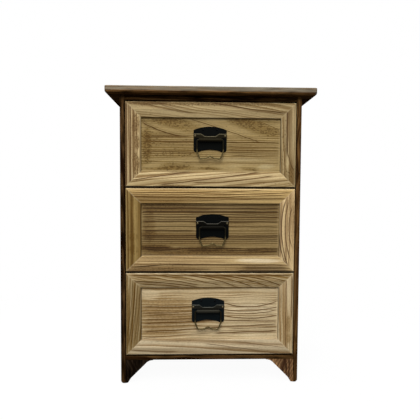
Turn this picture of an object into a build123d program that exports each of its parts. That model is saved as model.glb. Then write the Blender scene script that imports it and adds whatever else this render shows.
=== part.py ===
from build123d import *
from math import radians, tan
import os

# A small three-drawer wooden cabinet with stamped bail pulls, in millimetres.
# +Z is up, the drawer fronts face -Y, and the origin is on the floor under the middle of the top board.

# Carcass
overall_height = 420.5
body_width = 255.0
body_depth = 220.0
side_thickness = 6.5
edge_radius = 0.8

# Top board, flush with the carcass at the back
top_thickness = 10.5
side_overhang = 19.0
front_overhang = 10.0
top_corner_radius = 3.0
top_rim_radius = 1.2
top_under_radius = 4.0

# Bottom board, and the rails under the top board
leg_height = 34.0
bottom_thickness = 5.5
rail_thickness = 7.0
rail_depth = 32.0

# Back panel, let into rebates of the side panels
back_thickness = 3.0
back_inset = 1.0
back_lap = 3.2

# Feet, cut from the side panels, and the corner brackets behind their front edges
foot_tip = 12.0
arch_height = 24.0
arch_radius = 12.0
foot_radius = 4.0
bracket_thickness = 6.5
bracket_tip = 3.2
bracket_clear = 0.5
bracket_tip_radius = 3.0
bracket_knee = 7.6
bracket_knee_radius = 9.0
bracket_lip = 0.4
bracket_radius = 13.0

# Runners that carry the drawers
runner_width = 10.0
runner_height = 7.5
runner_setback = 1.0
running_clearance = 0.3

# Drawer fronts: four mitred mouldings round a recessed panel
drawer_names = ("lower", "middle", "upper")
front_gap = 1.5
front_side_gap = 0.8
moulding_width = 21.5
moulding_rim = 11.0
moulding_fall = 3.0
moulding_round = 1.8
moulding_soft = 3.0
moulding_lip = 0.8
panel_recess = 6.0
panel_thickness = 4.0
panel_groove = 5.0
groove_lip = 1.85

# Drawer boxes
drawer_side_clearance = 1.5
drawer_side_thickness = 6.0
drawer_headroom = 6.0
drawer_rear_gap = 0.6
side_housing = 4.0
drawer_back_thickness = 6.0
drawer_back_inset = 8.0
back_housing = 2.0
drawer_bottom_thickness = 3.0
drawer_bottom_rise = 5.0
bottom_groove = 2.5
bottom_tongue = 2.0
fit_clearance = 0.15

# Brads and nails of square wire, and screws
pin_side = 1.2
pin_clearance = 0.05
pin_bite = 14.0
drawer_pin_bite = 8.0
nail_side = 1.0
nail_head_side = 2.6
nail_head_height = 0.6
nail_bite = 8.0
nail_margin = 18.0
screw_radius = 1.5
screw_head_radius = 3.0
screw_bite = 6.0
screw_spacing = 130.0

# Pulls: plate, strap with its knuckle, wire bail and pins
pull_rise = {"lower": 4.4, "middle": 4.8, "upper": 8.0}
pull_shift = {"lower": -2.9, "middle": 2.7, "upper": -1.3}
plate_width = 47.0
plate_height = 36.0
plate_crown = 4.8
plate_scoop = 3.5
plate_lobe = 6.0
plate_thickness = 1.0
plate_corner = 4.0
plate_shoulder = 1.2
plate_bevel = 0.35
strap_thickness = 0.8
strap_bevel = 0.25
tab_top = 7.8
tab_bottom = 2.0
hub_top = 4.3
hub_half = 7.7
hub_slope = 5.0
knuckle_length = 32.0
knuckle_radius = 2.6
knuckle_gap = 0.1
knuckle_rise = -1.0
wire_radius = 1.0
wire_clearance = 0.08
bail_entry = 7.0
bail_side_gap = 0.3
bail_bend = 2.2
bail_leg = 16.8
bail_drop = 26.4
bail_foot_half = 14.5
bail_foot_rise = 0.9
bail_kink_half = 5.0
bail_kink_rise = 3.8
bail_knee_bend = 8.0
bail_corner_bend = 2.5
bail_kink_bend = 1.6
bail_kink_ease = 4.0
pull_pin_side = 1.4
pull_pin_head = 1.5
pull_pin_dome = 0.9
crown_pin_half = 9.8
crown_pin_rise = 13.2
tab_pin_half = 21.2

# Planes of the carcass
body_half = body_width / 2
inner_half = body_half - side_thickness
top_width = body_width + 2 * side_overhang
top_depth = body_depth + front_overhang
back_face = top_depth / 2
front_face = back_face - body_depth
back_outer = back_face - back_inset
back_inner = back_outer - back_thickness
top_underside = overall_height - top_thickness
rail_underside = top_underside - rail_thickness
bottom_top = leg_height + bottom_thickness

# Planes shared by the drawers
bay_height = (rail_underside - bottom_top - front_gap) / len(drawer_names)
front_height = bay_height - front_gap
front_half = inner_half - front_side_gap
panel_face = front_face + panel_recess
front_back = panel_face + panel_thickness + fit_clearance + groove_lip
box_half = inner_half - drawer_side_clearance
box_inner_half = box_half - drawer_side_thickness
box_back = back_inner - drawer_rear_gap
box_height = bay_height - runner_height - running_clearance - drawer_headroom
drawer_back_far = box_back - drawer_back_inset
drawer_back_near = drawer_back_far - drawer_back_thickness
drawer_pin_length = drawer_side_thickness + drawer_pin_bite
bottom_pin_length = drawer_bottom_thickness + drawer_pin_bite
front_pin_y = front_back - side_housing / 2
back_pin_y = (drawer_back_near + drawer_back_far) / 2
pull_bore_length = 2 * (plate_thickness + strap_thickness + panel_thickness)

from_below = Rotation(180, 0, 0)
towards_front = Rotation(90, 0, 0)
towards_right = Rotation(0, 90, 0)
standing = (Align.CENTER, Align.CENTER, Align.MIN)
hanging = (Align.CENTER, Align.CENTER, Align.MAX)

os.makedirs("parts", exist_ok=True)


def save(piece, name):
    """Label a finished piece and write it to its own file."""
    piece.part.label = name
    export_step(piece.part, f"parts/{name}.step")


def box_between(low, high, mode=Mode.ADD):
    """A box from its lowest corner to its highest one, in the part that is being built."""
    size = [end - start for start, end in zip(low, high)]
    middle = tuple((start + end) / 2 for start, end in zip(low, high))
    with Locations(middle):
        Box(*size, mode=mode)


def bore(places, side, length):
    """Square holes for brads, centred on the given places, in the part that is being built."""
    width = side + 2 * pin_clearance
    with Locations(*places):
        Box(width, width, length, mode=Mode.SUBTRACT)


def across(side, near, far):
    """The x range between two distances from the middle, on the left (-1) or the right (1)."""
    return sorted((side * near, side * far))


def spaced(low, high, count):
    """Evenly spaced positions, with both ends included."""
    step = (high - low) / (count - 1)
    return [low + step * i for i in range(count)]


# Places of the fasteners that hold the carcass together
pin_length = side_thickness + pin_bite
front_rail_middle = front_face + rail_depth / 2
rear_rail_middle = back_inner - rail_depth / 2
bottom_middle_z = leg_height + bottom_thickness / 2
rail_middle_z = rail_underside + rail_thickness / 2
pin_spots = [(y, bottom_middle_z) for y in spaced(front_rail_middle, rear_rail_middle, 3)]
pin_spots += [(front_rail_middle, rail_middle_z), (rear_rail_middle, rail_middle_z)]
pin_places = [
    Location((side * (body_half - pin_length / 2), y, z)) * towards_right
    for side in (-1, 1)
    for y, z in pin_spots
]

nail_length = back_thickness + nail_bite
nail_rows = spaced(bottom_top + nail_margin, rail_underside - nail_margin, 5)
nail_columns = spaced(-inner_half + 2 * nail_margin, inner_half - 2 * nail_margin, 3)
nail_spots = [(side * (inner_half + back_lap / 2), z) for side in (-1, 1) for z in nail_rows]
nail_spots += [(x, z) for x in nail_columns for z in (bottom_middle_z, rail_middle_z)]
nail_seats = [Location((x, back_outer, z)) * towards_front for x, z in nail_spots]
nail_holes = [Location((x, back_outer - nail_length / 2, z)) * towards_front for x, z in nail_spots]

screw_spots = [
    (x, y)
    for x in (-screw_spacing / 2, screw_spacing / 2)
    for y in (front_rail_middle, rear_rail_middle)
]
screw_length = rail_thickness + screw_bite


# Top board
with BuildPart() as top_board:
    with BuildSketch(Plane.XY.offset(top_underside)) as top_outline:
        Rectangle(top_width, top_depth)
        fillet(top_outline.vertices().group_by(Axis.Y)[0], top_corner_radius)
    extrude(amount=top_thickness)
    for end, radius in ((0, top_under_radius), (-1, top_rim_radius)):
        rim = top_board.faces().filter_by(Axis.Z).sort_by(Axis.Z)[end].edges()
        fillet(rim.filter_by(lambda edge: edge.center().Y < back_face - edge_radius), radius)
    with Locations(*[Location((x, y, top_underside)) * from_below for x, y in screw_spots]):
        Hole(screw_radius + pin_clearance, depth=screw_bite)
save(top_board, "top_board")


def side_panel(side):
    """A side panel with its two feet; side is -1 on the left and 1 on the right."""
    with BuildPart() as panel:
        with BuildSketch(Plane.YZ.offset(min(side * inner_half, side * body_half))) as outline:
            with BuildLine():
                Polyline(
                    (front_face, 0),
                    (front_face + foot_tip, 0),
                    (front_face + foot_tip + arch_height, arch_height),
                    (back_face - foot_tip - arch_height, arch_height),
                    (back_face - foot_tip, 0),
                    (back_face, 0),
                    (back_face, top_underside),
                    (front_face, top_underside),
                    close=True,
                )
            make_face()
            fillet(outline.vertices().group_by(Axis.Y)[1], arch_radius)
        extrude(amount=side_thickness)
        soles = panel.edges().filter_by(Axis.Y).group_by(Axis.Z)[0]
        fillet(soles.group_by(Axis.X)[-1 if side > 0 else 0], foot_radius)
        fillet(panel.edges().filter_by(Axis.Z).group_by(Axis.Y)[0], edge_radius)
        near, far = across(side, inner_half, inner_half + back_lap)
        box_between((near, back_inner, leg_height), (far, back_face, top_underside), Mode.SUBTRACT)
        bore(pin_places, pin_side, pin_length)
        bore(nail_holes, nail_side, nail_length)
    return panel


save(side_panel(-1), "left_side_panel")
save(side_panel(1), "right_side_panel")

# Bottom board
with BuildPart() as bottom_board:
    box_between((-inner_half, front_face, leg_height), (inner_half, back_inner, bottom_top))
    fillet(bottom_board.edges().filter_by(Axis.X).group_by(Axis.Y)[0], edge_radius)
    bore(pin_places, pin_side, pin_length)
    bore(nail_holes, nail_side, nail_length)
save(bottom_board, "bottom_board")


def top_rail(near, far):
    """A flat rail under the top board, between two y positions."""
    with BuildPart() as rail:
        box_between((-inner_half, near, rail_underside), (inner_half, far, top_underside))
        bore(pin_places, pin_side, pin_length)
        bore(nail_holes, nail_side, nail_length)
        spots = [Location((x, y, rail_underside)) * from_below for x, y in screw_spots if near < y < far]
        with Locations(*spots):
            CounterSinkHole(
                screw_radius + pin_clearance,
                screw_head_radius + pin_clearance,
                depth=rail_thickness,
                counter_sink_angle=90,
            )
    return rail


save(top_rail(front_face, front_face + rail_depth), "front_top_rail")
save(top_rail(back_inner - rail_depth, back_inner), "rear_top_rail")

# Back panel
with BuildPart() as back_panel:
    back_half = inner_half + back_lap - fit_clearance
    box_between((-back_half, back_inner, leg_height), (back_half, back_outer, top_underside))
    bore(nail_holes, nail_side, nail_length)
save(back_panel, "back_panel")


def foot_bracket(side):
    """A corner bracket between a side panel and the bottom board, behind their front edges."""
    corner = Plane(origin=(side * inner_half, front_face, 0), x_dir=(-side, 0, 0), z_dir=(0, side, 0))
    shoulder = leg_height - bracket_lip
    reach = shoulder + bracket_radius * tan(radians(45 / 2)) + bracket_lip
    with BuildPart() as bracket:
        with BuildSketch(corner):
            with BuildLine():
                FilletPolyline(
                    (0, bracket_clear),
                    (bracket_tip, bracket_clear),
                    (bracket_knee, bracket_knee),
                    (shoulder, shoulder),
                    (reach, shoulder),
                    (reach, leg_height),
                    (0, leg_height),
                    radius=(0, bracket_tip_radius, bracket_knee_radius, bracket_radius, 0, 0, 0),
                    close=True,
                )
            make_face()
        extrude(amount=side * bracket_thickness)
    return bracket


save(foot_bracket(-1), "left_foot_bracket")
save(foot_bracket(1), "right_foot_bracket")

# Pins of the carcass, flush with the side panels
with BuildPart() as carcass_pins:
    with Locations(*pin_places):
        Box(pin_side, pin_side, pin_length)
save(carcass_pins, "carcass_pins")

# Nails of the back panel, with flat heads on its outer face
with BuildPart() as back_panel_nails:
    with Locations(*nail_seats):
        Box(nail_side, nail_side, nail_length, align=standing)
        Box(nail_head_side, nail_head_side, nail_head_height, align=hanging)
save(back_panel_nails, "back_panel_nails")

# Countersunk screws that hold the top board from below
with BuildPart() as top_screws:
    with Locations(*[(x, y, rail_underside) for x, y in screw_spots]):
        Cone(screw_head_radius, screw_radius, screw_head_radius - screw_radius, align=standing)
        Cylinder(screw_radius, screw_length, align=standing)
save(top_screws, "top_screws")


class Bay:
    """The heights of one drawer and of its parts, from the level of its bay."""

    def __init__(self, level):
        self.floor = bottom_top + level * bay_height
        self.runner_top = self.floor + runner_height
        self.front_low = self.floor + front_gap
        self.front_high = self.front_low + front_height
        self.box_low = self.runner_top + running_clearance
        self.box_high = self.box_low + box_height
        self.bottom_low = self.box_low + drawer_bottom_rise
        self.bottom_high = self.bottom_low + drawer_bottom_thickness
        self.pin_heights = spaced(self.bottom_high, self.box_high, 4)[1:3]


def runner(side, bay):
    """A strip on the inside of a side panel that one side of a drawer slides on."""
    near, far = across(side, inner_half - runner_width, inner_half)
    with BuildPart() as strip:
        box_between(
            (near, front_back + runner_setback, bay.floor),
            (far, back_inner, bay.runner_top),
        )
    return strip


def box_pins(bay):
    """Places of the pins that go through a box's sides, into the front and the back."""
    return [
        Location((side * (box_half - drawer_pin_length / 2), y, z)) * towards_right
        for side in (-1, 1)
        for y in (front_pin_y, back_pin_y)
        for z in bay.pin_heights
    ]


def bottom_pins(bay):
    """Places of the pins that go up through a box's bottom into its back."""
    middle_z = bay.bottom_low + bottom_pin_length / 2
    return [Location((x, back_pin_y, middle_z)) for x in (-box_inner_half / 2, box_inner_half / 2)]


def housings(bay):
    """Boxes cut into the back of a drawer front, for the ends of the sides and of the bottom."""
    boxes = []
    for side in (-1, 1):
        near, far = across(side, box_inner_half - fit_clearance, box_half + fit_clearance)
        low = (near, front_back - side_housing, bay.box_low - fit_clearance)
        high = (far, front_back, bay.box_high + fit_clearance)
        boxes.append((low, high))
    slot_half = box_inner_half + bottom_groove
    slot_low = (-slot_half, front_back - bottom_tongue, bay.bottom_low)
    slot_high = (slot_half, front_back, bay.bottom_high + fit_clearance)
    return boxes + [(slot_low, slot_high)]


def moulding(corner, inward, along, length, bay):
    """A mitred moulding that runs from an outer corner of the drawer front along one edge."""
    depth = front_back - front_face
    groove_front = panel_recess
    groove_back = panel_recess + panel_thickness + fit_clearance
    groove_floor = moulding_width - panel_groove
    with BuildPart() as piece:
        with BuildSketch(Plane(origin=corner, x_dir=inward, z_dir=along)):
            with BuildLine():
                FilletPolyline(
                    (0, depth),
                    (0, 0),
                    (moulding_rim, 0),
                    (moulding_width, moulding_fall),
                    (moulding_width, groove_front),
                    (groove_floor, groove_front),
                    (groove_floor, groove_back),
                    (moulding_width, groove_back),
                    (moulding_width, depth),
                    radius=(0, moulding_round, moulding_soft, moulding_lip, 0, 0, 0, 0, 0),
                    close=True,
                )
            make_face()
        extrude(amount=length)
        split(bisect_by=Plane(origin=corner, z_dir=along - inward), keep=Keep.TOP)
        split(bisect_by=Plane(origin=corner + along * length, z_dir=-along - inward), keep=Keep.TOP)
        for low, high in housings(bay):
            box_between(low, high, Mode.SUBTRACT)
        bore(box_pins(bay), pin_side, drawer_pin_length)
    return piece


def pull_plate(face, crown_pins, tab_pins):
    """The stamped plate of a pull: arched at the top, scooped between two lobes at the foot."""
    half = plate_width / 2
    base = -plate_height / 2
    shoulder = plate_height / 2 - plate_crown
    lobe = half - plate_lobe
    with BuildPart() as plate:
        with BuildSketch(face) as outline:
            with BuildLine():
                ThreePointArc((-half, shoulder), (0, plate_height / 2), (half, shoulder))
                Polyline((half, shoulder), (half, base), (lobe, base))
                ThreePointArc((lobe, base), (0, base + plate_scoop), (-lobe, base))
                Polyline((-lobe, base), (-half, base), (-half, shoulder))
            make_face()
            feet = outline.vertices().group_by(Axis.Y)[0].sort_by(Axis.X)
            fillet([feet[0], feet[-1]], plate_corner)
            fillet(outline.vertices().group_by(Axis.Y)[-1], plate_shoulder)
        extrude(amount=plate_thickness)
        chamfer(plate.faces().sort_by(Axis.Y)[0].edges(), plate_bevel)
        bore(crown_pins + tab_pins, pull_pin_side, pull_bore_length)
    return plate


def pull_strap(face, knuckle, tab_pins):
    """The strap across a pull's plate: two tabs, and a rolled knuckle that holds the bail."""
    half = plate_width / 2
    with BuildPart() as strap:
        with BuildSketch(face.offset(plate_thickness)):
            with BuildLine():
                Polyline(
                    (0, hub_top),
                    (hub_half, hub_top),
                    (hub_half + hub_slope, tab_top),
                    (half, tab_top),
                    (half, tab_bottom),
                    (knuckle_length / 2, tab_bottom),
                    (knuckle_length / 2, knuckle_rise),
                    (0, knuckle_rise),
                    close=True,
                )
            make_face()
            mirror(about=Plane.YZ)
        extrude(amount=strap_thickness)
        chamfer(strap.faces().sort_by(Axis.Y)[0].edges(), strap_bevel)
        with Locations(knuckle):
            Cylinder(knuckle_radius, knuckle_length)
            Cylinder(wire_radius + wire_clearance, knuckle_length, mode=Mode.SUBTRACT)
        bore(tab_pins, pull_pin_side, pull_bore_length)
    return strap


def pull_bail(pivot):
    """The wire bail of a pull: its ends turn into the knuckle, and its foot has a raised kink."""
    bail_half = knuckle_length / 2 + bail_side_gap + bail_bend
    entry = knuckle_length / 2 - bail_entry
    foot = -bail_drop + bail_foot_rise
    kink = -bail_drop + bail_kink_rise
    right = [
        (bail_kink_half, foot),
        (bail_foot_half, -bail_drop),
        (bail_half, -bail_leg),
        (bail_half, 0),
        (entry, 0),
    ]
    left = [(-x, z) for x, z in reversed(right)]
    bends = [bail_bend, bail_knee_bend, bail_corner_bend, bail_kink_ease]
    with BuildPart() as bail:
        with BuildLine(pivot) as path:
            FilletPolyline(
                *left,
                (0, kink),
                *right,
                radius=bends + [bail_kink_bend] + bends[::-1],
            )
        with BuildSketch(Plane(origin=path.line @ 0, z_dir=path.line % 0)):
            Circle(wire_radius)
        sweep()
    return bail


def pull_pins(crown_seats, tab_seats):
    """The domed pins of a pull, from their heads to the back of the drawer's panel."""
    shanks = (
        (crown_seats, plate_thickness + panel_thickness),
        (tab_seats, plate_thickness + strap_thickness + panel_thickness),
    )
    with BuildPart() as dome:
        with BuildSketch(Plane.XZ):
            with BuildLine():
                rim = (pull_pin_head, 0)
                crown = (0, pull_pin_dome)
                RadiusArc(rim, crown, -(pull_pin_head**2 + pull_pin_dome**2) / (2 * pull_pin_dome))
                Polyline(crown, (0, 0), rim)
            make_face()
        revolve(axis=Axis.Z)
    with BuildPart() as pins:
        for seats, length in shanks:
            with Locations(*seats):
                add(dome.part)
                Box(pull_pin_side, pull_pin_side, length, align=hanging)
    return pins


def save_pull(name, bay):
    """Make and write the four pieces of a pull, and give the places of its pins."""
    front_middle = (bay.front_low + bay.front_high) / 2
    middle = Vector(pull_shift[name], panel_face, front_middle + pull_rise[name])
    face = Plane(origin=middle, x_dir=(1, 0, 0), z_dir=(0, -1, 0))
    pivot = face.offset(plate_thickness + knuckle_gap + knuckle_radius)
    pivot.origin += Vector(0, 0, knuckle_rise)
    crown_spots = [middle + Vector(side * crown_pin_half, 0, crown_pin_rise) for side in (-1, 1)]
    tab_middle = (tab_top + tab_bottom) / 2
    tab_spots = [middle + Vector(side * tab_pin_half, 0, tab_middle) for side in (-1, 1)]
    crown_pins = [Location(spot) * towards_front for spot in crown_spots]
    tab_pins = [Location(spot) * towards_front for spot in tab_spots]
    on_plate = Vector(0, -plate_thickness, 0)
    on_strap = Vector(0, -plate_thickness - strap_thickness, 0)
    crown_seats = [Location(spot + on_plate) * towards_front for spot in crown_spots]
    tab_seats = [Location(spot + on_strap) * towards_front for spot in tab_spots]
    save(pull_plate(face, crown_pins, tab_pins), f"{name}_pull_plate")
    save(pull_strap(face, Location(pivot.origin) * towards_right, tab_pins), f"{name}_pull_strap")
    save(pull_bail(pivot), f"{name}_pull_bail")
    save(pull_pins(crown_seats, tab_seats), f"{name}_pull_pins")
    return crown_pins + tab_pins


def save_front(name, bay):
    """Make and write the four mouldings of a drawer front, each from the outer corner it starts at."""
    right = Vector(1, 0, 0)
    up = Vector(0, 0, 1)
    width = 2 * front_half
    low_left = Vector(-front_half, front_face, bay.front_low)
    low_right = low_left + right * width
    high_left = low_left + up * front_height
    high_right = low_right + up * front_height
    save(moulding(high_left, -up, right, width, bay), f"{name}_frame_top")
    save(moulding(low_right, up, -right, width, bay), f"{name}_frame_bottom")
    save(moulding(low_left, right, up, front_height, bay), f"{name}_frame_left")
    save(moulding(high_right, -right, -up, front_height, bay), f"{name}_frame_right")


def front_panel(bay, pull_holes):
    """The flat panel in the grooves of the mouldings, with the holes of the pull's pins."""
    margin = moulding_width - panel_groove + fit_clearance
    with BuildPart() as panel:
        box_between(
            (-front_half + margin, panel_face, bay.front_low + margin),
            (front_half - margin, panel_face + panel_thickness, bay.front_high - margin),
        )
        bore(pull_holes, pull_pin_side, pull_bore_length)
    return panel


def drawer_side(side, bay):
    """A side of a drawer box, grooved for the bottom and housed out for the back."""
    near, far = across(side, box_inner_half, box_half)
    groove_near, groove_far = across(side, box_inner_half, box_inner_half + bottom_groove)
    back_near, back_far = across(side, box_inner_half, box_inner_half + back_housing)
    with BuildPart() as board:
        box_between((near, front_back - side_housing, bay.box_low), (far, box_back, bay.box_high))
        fillet(board.edges().filter_by(Axis.Y).group_by(Axis.Z)[-1], edge_radius)
        box_between(
            (groove_near, front_back - side_housing, bay.bottom_low),
            (groove_far, box_back, bay.bottom_high + fit_clearance),
            Mode.SUBTRACT,
        )
        box_between(
            (back_near, drawer_back_near, bay.bottom_high),
            (back_far, drawer_back_far, bay.box_high),
            Mode.SUBTRACT,
        )
        bore(box_pins(bay), pin_side, drawer_pin_length)
    return board


def drawer_back(bay):
    """The back of a drawer box, which stands on the bottom between the sides."""
    half = box_inner_half + back_housing - fit_clearance
    with BuildPart() as board:
        box_between((-half, drawer_back_near, bay.bottom_high), (half, drawer_back_far, bay.box_high))
        fillet(board.edges().filter_by(Axis.X).group_by(Axis.Z)[-1], edge_radius)
        bore(box_pins(bay), pin_side, drawer_pin_length)
        bore(bottom_pins(bay), pin_side, bottom_pin_length)
    return board


def drawer_bottom(bay):
    """The thin bottom of a drawer box, slid in from behind under the back."""
    half = box_inner_half + bottom_groove - fit_clearance
    near = front_back - bottom_tongue + fit_clearance
    with BuildPart() as board:
        box_between((-half, near, bay.bottom_low), (half, box_back, bay.bottom_high))
        bore(bottom_pins(bay), pin_side, bottom_pin_length)
    return board


def drawer_pins(bay):
    """All pins of one drawer box, flush with the boards."""
    with BuildPart() as pins:
        with Locations(*box_pins(bay)):
            Box(pin_side, pin_side, drawer_pin_length)
        with Locations(*bottom_pins(bay)):
            Box(pin_side, pin_side, bottom_pin_length)
    return pins


for level, name in enumerate(drawer_names):
    bay = Bay(level)
    save(runner(-1, bay), f"{name}_left_runner")
    save(runner(1, bay), f"{name}_right_runner")
    save_front(name, bay)
    pull_holes = save_pull(name, bay)
    save(front_panel(bay, pull_holes), f"{name}_front_panel")
    save(drawer_side(-1, bay), f"{name}_drawer_left_side")
    save(drawer_side(1, bay), f"{name}_drawer_right_side")
    save(drawer_back(bay), f"{name}_drawer_back")
    save(drawer_bottom(bay), f"{name}_drawer_bottom")
    save(drawer_pins(bay), f"{name}_drawer_pins")
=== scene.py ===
# %% [markdown]
# A small wooden cabinet with three drawers
#
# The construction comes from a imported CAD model: every board, pin and pull is already there at
# its real size. This lesson gives the boards their wood and the pulls their metal, and sets up
# the camera and the light.

# %% Load the frame
import math
from collections import namedtuple

import bmesh
import bpy
from mathutils import Matrix, Vector


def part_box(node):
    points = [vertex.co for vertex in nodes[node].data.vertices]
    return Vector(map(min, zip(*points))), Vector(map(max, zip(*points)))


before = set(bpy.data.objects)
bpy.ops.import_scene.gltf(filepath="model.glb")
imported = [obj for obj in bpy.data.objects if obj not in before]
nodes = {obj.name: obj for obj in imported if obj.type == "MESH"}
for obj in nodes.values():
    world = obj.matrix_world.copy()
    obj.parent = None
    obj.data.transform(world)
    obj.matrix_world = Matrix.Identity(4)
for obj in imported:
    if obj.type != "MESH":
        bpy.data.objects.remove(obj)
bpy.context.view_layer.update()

# %% [markdown]
# The camera stands where the photographer stood: close to the cabinet, a little above its middle,
# and turned a touch to the right. Its place was worked out from the corners of the cabinet in the
# picture. A lens can be set in millimetres or as an angle. Here it is the focal length in pixels
# of a square picture, turned into millimetres, because the pixels are what was measured.

# %% Camera
PICTURE_SIDE = 420
FOCAL_PIXELS = 412.2
SENSOR_WIDTH = 36.0
CAMERA_PLACE = Vector((-0.0194, -0.6875, 0.2812))
CAMERA_TURN = -1.805
CAMERA_DIP = 3.046
CAMERA_ROLL = 0.344

camera = bpy.data.objects.new("camera", bpy.data.cameras.new("camera"))
bpy.context.scene.collection.objects.link(camera)
camera.data.sensor_width = SENSOR_WIDTH
camera.data.lens = SENSOR_WIDTH * FOCAL_PIXELS / PICTURE_SIDE
turn = Matrix.Rotation(math.radians(CAMERA_TURN), 4, "Z")
dip = Matrix.Rotation(math.radians(90 - CAMERA_DIP), 4, "X")
roll = Matrix.Rotation(math.radians(CAMERA_ROLL), 4, "Z")
camera.matrix_world = Matrix.Translation(CAMERA_PLACE) @ turn @ dip @ roll
bpy.context.scene.camera = camera
bpy.context.scene.view_settings.view_transform = "Standard"
print("lens:", round(camera.data.lens, 2), "mm")

# %% [markdown]
# Every finish below is a small network of shader nodes. Adding nodes one by one takes many lines,
# so one class stands for an output socket and lets Python's own arithmetic add the Math nodes.
# Writing 1 - mask, for example, makes a Subtract node. All other nodes come from its node
# method, which sets a node's options first and its sockets after that.


# %% Sockets as Python values
class Signal:
    """An output socket of a node tree. Arithmetic on signals adds Math nodes."""

    def __init__(self, tree, socket=None):
        self.tree = tree
        self.socket = socket

    def node(self, kind, settings=None, inputs=None, output=0):
        """Add a node, with its settings first and then the values or links of its sockets."""
        made = self.tree.nodes.new("ShaderNode" + kind)
        for name, value in (settings or {}).items():
            setattr(made, name, value)
        for key, value in (inputs or {}).items():
            if isinstance(value, Signal):
                self.tree.links.new(value.socket, made.inputs[key])
            else:
                made.inputs[key].default_value = value
        return Signal(self.tree, made.outputs[output] if made.outputs else None)

    def output(self, name):
        """Another output socket of the same node."""
        return Signal(self.tree, self.socket.node.outputs[name])

    def math(self, operation, *values):
        return self.node("Math", {"operation": operation}, dict(enumerate(values)))

    def __add__(self, other):
        return self.math("ADD", self, other)

    __radd__ = __add__

    def __sub__(self, other):
        return self.math("SUBTRACT", self, other)

    def __rsub__(self, other):
        return self.math("SUBTRACT", other, self)

    def __mul__(self, other):
        return self.math("MULTIPLY", self, other)

    __rmul__ = __mul__

    def __truediv__(self, other):
        return self.math("DIVIDE", self, other)

    def __rtruediv__(self, other):
        return self.math("DIVIDE", other, self)

    def __pow__(self, other):
        return self.math("POWER", self, other)

    def __abs__(self):
        return self.math("ABSOLUTE", self)


print("a Signal adds Math nodes for + - * / ** and abs")

# %% [markdown]
# Masks are numbers from 0 to 1 that say where a finish shows. A Map Range node with a soft step
# makes one from a distance. Colours are written as they look on a screen and turned into the
# linear values that sockets hold.


# %% Masks and colours
def smooth(value, low, high):
    """0 below low, 1 above high, and a soft step between them."""
    sockets = {"Value": value, "From Min": low, "From Max": high}
    return value.node("MapRange", {"interpolation_type": "SMOOTHSTEP"}, sockets)


def falling(value, low, high, top=1.0):
    """The other way round: top below low, 0 above high."""
    sockets = {"Value": value, "From Min": low, "From Max": high, "To Min": top, "To Max": 0.0}
    return value.node("MapRange", {"interpolation_type": "SMOOTHSTEP"}, sockets)


def highest(first, second):
    return first.math("MAXIMUM", first, second)


def lowest(first, second):
    return first.math("MINIMUM", first, second)


def mixed(colour, other, share):
    """A colour that turns into another one as share goes from 0 to 1."""
    options = {"data_type": "RGBA", "clamp_factor": True}
    return share.node("Mix", options, {0: share, 6: colour, 7: other}, output=2)


def paint(red, green, blue):
    """A screen colour, from 0 to 255, as the linear colour that sockets hold."""
    screen = [channel / 255 for channel in (red, green, blue)]
    linear = [c / 12.92 if c <= 0.04045 else ((c + 0.055) / 1.055) ** 2.4 for c in screen]
    return (*linear, 1.0)


def empty_material(name):
    """A new material with no nodes, and a signal to start its network from."""
    material = bpy.data.materials.new(name)
    material.use_nodes = True
    material.node_tree.nodes.clear()
    return material, Signal(material.node_tree)


WHITE = paint(255, 255, 255)
print("mid grey is", round(paint(128, 128, 128)[0], 3), "in linear light")

# %% [markdown]
# The light is a plain studio. The key lamp hangs in front of the cabinet, a little to the left
# and high, so every overhang throws a soft shadow down. A lamp overhead catches the top edges,
# and one behind keeps the back from going black. Together with the surround they come to about 1
# on the drawer fronts, so a colour renders about as it is written.

# %% Lamps
Lamp = namedtuple("Lamp", "name place aim side power")
LAMPS = [
    Lamp("key_lamp", Vector((-0.15, -1.1, 1.3)), Vector((0.0, -0.1, 0.2)), 1.0, 26.0),
    Lamp("top_lamp", Vector((0.1, -0.3, 1.5)), Vector((0.0, -0.05, 0.3)), 0.9, 9.0),
    Lamp("back_lamp", Vector((-0.7, 1.2, 1.1)), Vector((0.0, 0.1, 0.2)), 0.9, 16.0),
]
for lamp in LAMPS:
    made = bpy.data.objects.new(lamp.name, bpy.data.lights.new(lamp.name, "AREA"))
    bpy.context.scene.collection.objects.link(made)
    made.data.energy = lamp.power
    made.data.size = lamp.side
    made.location = lamp.place
    made.rotation_euler = (lamp.aim - lamp.place).to_track_quat("-Z", "Y").to_euler()
print("lamps:", [lamp.name for lamp in LAMPS])

# %% [markdown]
# The surround is the white room of the studio. It could be a big white box, but a world of one
# colour does the same with no walls to hide. It lights the cabinet only a little, which fills the
# shadows, and yet it shows as pure white to the camera and in the metal, because the Light Path
# node tells these rays from the ones that light.

# %% Surround
FILL = 0.24


def seen_directly(start):
    """1 on rays that show a surface, straight, mirrored or through glass, 0 on rays that light."""
    path = start.node("LightPath")
    shown = highest(path.output("Is Camera Ray"), path.output("Is Glossy Ray"))
    return highest(shown, path.output("Is Transmission Ray"))


world = bpy.data.worlds.new("surround")
bpy.context.scene.world = world
world.use_nodes = True
world.node_tree.nodes.clear()
surround = Signal(world.node_tree)
brightness = FILL + seen_directly(surround) * (1 - FILL)
glow = surround.node("Background", {}, {"Color": WHITE, "Strength": brightness})
surround.node("OutputWorld", {}, {"Surface": glow})
print("surround lights at", FILL)

# %% [markdown]
# The floor is plain and white. A lit white floor would still turn grey at a distance, so what the
# camera sees of it is mostly a steady white, and near the feet a small share is the lit surface,
# which keeps a faint shadow. The light that the floor throws up is that of a dull floor, so the
# underside of the top board stays dark.

# %% Floor
FLOOR_HALF = 3.0
SHADOW_SHARE = 0.04
SHADOW_NEAR = 0.2
SHADOW_FAR = 0.6
DULL_FLOOR = paint(105, 102, 98)
PALE_FLOOR = paint(240, 240, 238)

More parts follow.
